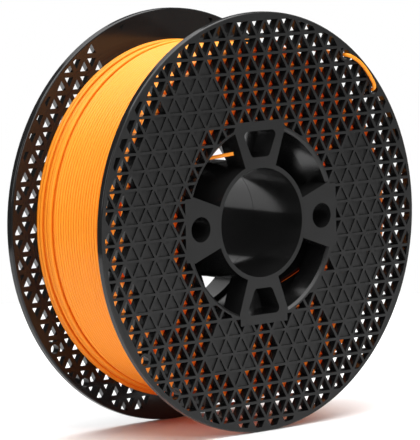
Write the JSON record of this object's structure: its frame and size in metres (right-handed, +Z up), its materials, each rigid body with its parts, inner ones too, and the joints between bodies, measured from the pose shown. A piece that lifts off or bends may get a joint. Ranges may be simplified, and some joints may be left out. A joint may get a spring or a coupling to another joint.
{
  "type": "filament spool",
  "caption": "Round spool with open lattice side plates, a hollow hub with spokes, and a full winding of orange filament whose end is threaded through the rim.",
  "frame": {"origin": "on the spool's axis, midway between the two outer faces", "axes": "+Y along the bore, towards the rear plate; +Z up; the plate with the threaded filament end faces -Y"},
  "size_m": [0.2, 0.0712, 0.2],
  "materials": {
    "plate_plastic": "satin moulded",
    "core_plastic": "glossy",
    "filament": "satin extruded"
  },
  "bodies": {
    "root": {"front_side_plate": "plate_plastic", "rear_side_plate": "plate_plastic", "winding_core": "core_plastic", "filament_winding": "filament", "filament_tail": "filament", "filament_start": "filament"}
  },
  "joints": []
}
